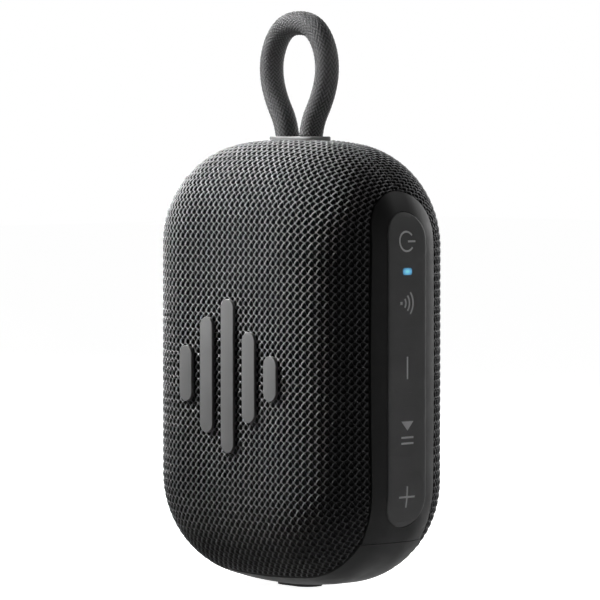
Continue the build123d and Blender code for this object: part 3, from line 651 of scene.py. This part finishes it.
def knitted_sleeve(material):
    """The mesh cloth over the whole body, hole by hole, open round the trim."""
    half_u, half_v = half_wrap(HALF_WIDTH), half_wrap(HALF_HEIGHT)
    columns = round(half_u / (HOLE_PITCH_X / 2))
    rows = round(half_v / (HOLE_PITCH_Z / 2))
    mesh = cloth_mesh(columns, rows, half_u / columns, half_v / rows)
    sleeve = new_object("knitted_sleeve", mesh)
    wear(sleeve, material)
    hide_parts("fabric_sleeve")
    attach(sleeve, "speaker_body")
    return sleeve


# ---------------------------------------------------------------- softened copies of CAD pieces


def softened(node, body, width, picked):
    """A copy of a CAD node whose picked sharp edges are rounded. picked takes an edge's middle."""
    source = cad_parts[node]
    rounded = bmesh.new()
    rounded.from_mesh(source.data)
    bmesh.ops.remove_doubles(rounded, verts=rounded.verts, dist=0.001 * MM)
    bmesh.ops.dissolve_limit(rounded, angle_limit=math.radians(1), verts=rounded.verts, edges=rounded.edges)
    sharp = [edge for edge in rounded.edges if len(edge.link_faces) == 2
             and edge.calc_face_angle(0) > math.radians(50)
             and picked((edge.verts[0].co + edge.verts[1].co) / 2)]
    bmesh.ops.bevel(rounded, geom=sharp, offset=width, segments=4, profile=0.5, affect="EDGES")
    mesh = bpy.data.meshes.new(f"soft_{node}")
    rounded.to_mesh(mesh)
    rounded.free()
    piece = new_object(f"soft_{node}", mesh)
    for polygon in mesh.polygons:
        polygon.use_smooth = True
    mesh.set_sharp_from_angle(angle=math.radians(40))
    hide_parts(node)
    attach(piece, body)
    return piece


def softened_trim(panel, plate, paint):
    """Round the outer edges of the keypad, the strap plate and the badge's bars."""
    low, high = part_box("keypad_panel")
    half, middle = (high[1] - low[1]) / 2, (high[2] + low[2]) / 2
    straight = (high[2] - low[2]) / 2 - half

    def on_panel_rim(place):
        beyond = max(abs(place.z - middle) - straight, 0)
        return abs(math.hypot(place.y, beyond) - half) < 0.1 * MM and place.x > panel_floor_x(place.z)

    def on_plate_top(place):
        return place.z > PLATE_HIGH[2] - 0.05 * MM

    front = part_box("front_badge")[0][1] + 0.05 * MM

    def on_badge_front(place):
        return place.y < front

    wear(softened("keypad_panel", "speaker_body", PANEL_EDGE, on_panel_rim), panel)
    wear(softened("strap_plate", "speaker_body", PLATE_EDGE, on_plate_top), plate)
    wear(softened("front_badge", "speaker_body", BADGE_EDGE, on_badge_front), paint)


def panel_floor_x(z):
    """X halfway down the keypad panel's depth at height z."""
    return key_face_x(z - MIDDLE_Z) - PANEL_HALF_DEPTH


def flexing_ring(node, material):
    """A rubber or cloth ring cut into wedges, each with the ring's material."""
    low, high = (Vector(corner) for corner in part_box(node))
    middle = (low + high) / 2
    for number in range(RING_WEDGES):
        turn = 2 * math.pi * number / RING_WEDGES
        wedge = bmesh.new()
        wedge.from_mesh(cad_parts[node].data)
        for side in (-1, 1):
            edge = turn + side * math.pi / RING_WEDGES
            way = Vector((-math.sin(edge), 0, math.cos(edge))) * side
            every = wedge.verts[:] + wedge.edges[:] + wedge.faces[:]
            bmesh.ops.bisect_plane(wedge, geom=every, plane_co=middle, plane_no=way, clear_outer=True)
        mesh = bpy.data.meshes.new(f"{node}_{number + 1}")
        wedge.to_mesh(mesh)
        wedge.free()
        piece = new_object(f"flex_{node}_{number + 1}", mesh)
        wear(piece, material)
        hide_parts(node)
        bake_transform(piece)


# ---------------------------------------------------------------- key caps


def key_cap(name, material):
    """A key's cap, a little fuller than its CAD node so that it meets the panel round it."""
    low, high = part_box(f"key_{name}")
    half_y, half_z = (high[1] - low[1]) / 2 + CAP_FULLER, (high[2] - low[2]) / 2 + CAP_FULLER
    middle = (high[2] + low[2]) / 2 - MIDDLE_Z
    rows, columns = 48, 12
    points, faces = [], []
    for row in range(rows + 1):
        z = -half_z * math.cos(math.pi * row / rows)
        beyond = max(abs(z) - half_z + CAP_CORNER, 0)
        reach = half_y - CAP_CORNER + math.sqrt(max(CAP_CORNER**2 - beyond**2, 0))
        for column in range(columns + 1):
            y = reach * (2 * column / columns - 1)
            points.append((key_face_x(middle + z), y, MIDDLE_Z + middle + z))
    for row in range(rows):
        for column in range(columns):
            at = row * (columns + 1) + column
            faces.append((at, at + 1, at + columns + 2, at + columns + 1))
    border = [n for n in range(columns)] + [row * (columns + 1) + columns for row in range(rows)]
    border += [rows * (columns + 1) + n for n in range(columns, 0, -1)]
    border += [row * (columns + 1) for row in range(rows, 0, -1)]
    below = len(points)
    points += [(points[n][0] - CAP_SKIRT, points[n][1], points[n][2]) for n in border]
    for n in range(len(border)):
        after = (n + 1) % len(border)
        faces.append((border[after], border[n], below + n, below + after))
    cap = mesh_object(f"cap_{name}", points, faces)
    cap.data.set_sharp_from_angle(angle=math.radians(40))
    wear(cap, material)
    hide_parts(f"key_{name}")
    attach(cap, f"{name}_key")


# ---------------------------------------------------------------- printed marks on the keys


def key_face_x(z):
    """X of the keypad's outer face at a height about the middle."""
    beyond = max(abs(z) - corner_height(), 0)
    return HALF_WIDTH - CORNER_RADIUS + math.sqrt(CORNER_RADIUS**2 - beyond**2)


def stroke(points, width, closed=False):
    """Outline quads of a flat stroke through (y, z) points, as (points, faces)."""
    line = [Vector(p) for p in points]
    if len(line) == 2:
        steps = 2 + int((line[1] - line[0]).length / 0.3)
        line = [line[0].lerp(line[1], n / steps) for n in range(steps + 1)]
    count = len(line)
    sides = []
    for number in range(count):
        before = line[number - 1] if number or closed else line[number]
        after = line[(number + 1) % count] if number < count - 1 or closed else line[number]
        way = (after - before).normalized()
        side = Vector((-way.y, way.x)) * width / 2
        if before != line[number] != after:
            turn = (line[number] - before).normalized().dot(way)
            side = side / max(turn, 0.5)
        sides.append((line[number] + side, line[number] - side))
    flat = [point for pair in sides for point in pair]
    last = count if closed else count - 1
    ends = 2 * count
    faces = [(2 * n, 2 * n + 1, (2 * n + 3) % ends, (2 * n + 2) % ends) for n in range(last)]
    return flat, faces


def arc(centre, radius, start, end, steps=28):
    """Points on an arc in the (y, z) plane, angles in degrees from +y."""
    angles = [math.radians(start + (end - start) * n / steps) for n in range(steps + 1)]
    return [(centre[0] + radius * math.cos(a), centre[1] + radius * math.sin(a)) for a in angles]


def printed(name, shapes, height, body, material):
    """Flat ink on a key: shapes are (points, faces) about the key's middle, in millimetres."""
    points, faces = [], []
    for flat, cells in shapes:
        start = len(points)
        points += [(p[0], p[1]) for p in flat]
        faces += [tuple(start + n for n in cell) for cell in cells]
    places = []
    for y, z in points:
        at = height + z * MM
        places.append((key_face_x(at) + INK_HEIGHT, y * MM, MIDDLE_Z + at))
    ink = mesh_object(name, places, faces, smooth=False)
    wear(ink, material)
    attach(ink, body)


def key_marks(material):
    """The five marks in millimetres, turned to be read with +Y upward."""
    line, dot = 0.5, 0.8
    power = [stroke(arc((-0.2, 0), 2.55, 38, 322), line), stroke([(0.2, 0), (2.9, 0)], line)]
    pair = [stroke([(-2.2, -0.4), (-2.2, 0.4)], dot)]
    pair += [stroke(arc((-2.4, 0), radius, -40, 40, 18), line) for radius in (1.8, 3.1, 4.4)]
    minus = [stroke([(0, -2.95), (0, 2.95)], line)]
    play = [([(-2.2, 2.95), (2.2, 2.95), (0.0, 0.5)], [(0, 1, 2)])]
    play += [stroke([(-2.2, z), (2.2, z)], line) for z in (-1.3, -2.85)]
    plus = [stroke([(0, -2.85), (0, 2.85)], line), stroke([(-2.85, 0), (2.85, 0)], line)]
    for name, shapes in zip(KEYS, (power, pair, minus, play, plus)):
        low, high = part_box(f"key_{name}")
        height = (low[2] + high[2]) / 2 - MIDDLE_Z
        printed(f"mark_{name}", shapes, height, f"{name}_key", material)


# ---------------------------------------------------------------- CAD pieces


def finish_cad_pieces():
    """Give every CAD node its material, then make the pieces that replace some of them."""
    shell = moulded("shell_plastic", 24, 0.55)
    trim = moulded("trim_plastic", 36, 0.54, 0.28 * MM, 0.008 * MM, Specular_IOR_Level=0.075)
    soft = moulded("key_rubber", 70, 0.62, 0.22 * MM, 0.006 * MM, Specular_IOR_Level=0.2)
    seal = moulded("seal_rubber", 26, 0.7, 0.3 * MM, 0.012 * MM)
    plate = moulded("plate_plastic", 76, 0.75, 0.25 * MM, 0.006 * MM, Specular_IOR_Level=0.15)
    paint = moulded("badge_paint", 63, 0.42, 0.2 * MM, 0.004 * MM, Specular_IOR_Level=0.35)
    package = moulded("chip_package", 30, 0.5, 0.15 * MM, 0.008 * MM)
    wrap = moulded("cell_wrap", 70, 0.35, 2 * MM, 0.02 * MM, tint=(-40, 0, 70))
    red = moulded("red_insulation", 90, 0.4, tint=(90, -60, -60))
    black = moulded("black_insulation", 26, 0.4)
    flex = moulded("amber_flex", 110, 0.3, tint=(60, 0, -80))
    paper = moulded("cone_paper", 40, 0.75, 0.6 * MM, 0.04 * MM)
    ferrite = moulded("ferrite", 52, 0.5, 0.5 * MM, 0.02 * MM)
    cloth = moulded("spider_cloth", 130, 0.85, 0.4 * MM, 0.05 * MM, tint=(50, 10, -60))
    steel = brushed("plain_steel", (0.55, 0.55, 0.56, 1), 0.35)
    aluminium = brushed("plain_aluminium", (0.75, 0.75, 0.76, 1), 0.3)
    copper = brushed("copper_wire", (0.75, 0.32, 0.15, 1), 0.3, (1, 14, 1))
    lens, board = lamp_lens(), solder_mask()
    worn = {
        shell: ["main_housing", "front_baffle", "front_grille", "rear_grille", "strap_anchor",
                "battery_cradle", "radiator_frame"],
        trim: ["control_strip", "base_cap", "port_bezel"],
        soft: ["keypad_panel"] + [f"key_{name}" for name in KEYS],
        seal: ["housing_gasket", "foot_pad", "port_flap", "driver_gasket", "driver_surround",
               "radiator_surround"],
        plate: ["strap_plate"],
        paint: ["front_badge"],
        package: ["tact_switches", "usb_tongue", "amplifier_chip"]
        + [f"switch_button_{name}" for name in KEYS],
        wrap: ["battery_cell"],
        red: ["battery_lead_red"],
        black: ["battery_lead_black", "speaker_leads"],
        flex: ["key_ribbon"],
        paper: ["driver_cone", "dust_cap"],
        ferrite: ["driver_magnet"],
        cloth: ["spider"],
        steel: ["housing_screws", "flap_pin", "usb_socket", "radio_module", "driver_basket",
                "driver_screws", "driver_top_plate", "driver_back_plate", "radiator_plate"],
        aluminium: ["capacitors", "voice_coil_former"],
        copper: ["voice_coil_winding"],
        lens: ["led_lens", "status_led"],
        board: ["main_board", "key_board"],
    }
    for material, names in worn.items():
        for name in names:
            wear(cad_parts[name], material)
    softened_trim(soft, plate, paint)
    flexing_ring("driver_surround", seal)
    flexing_ring("spider", cloth)
    flexing_ring("radiator_surround", seal)
    for name in KEYS:
        key_cap(name, soft)


camera()
strap_loop(braid_yarn())
studio()
finish_cad_pieces()
knitted_sleeve(knit_yarn())
key_marks(moulded("key_ink", 208, 0.5, 0.2 * MM, 0.002 * MM))
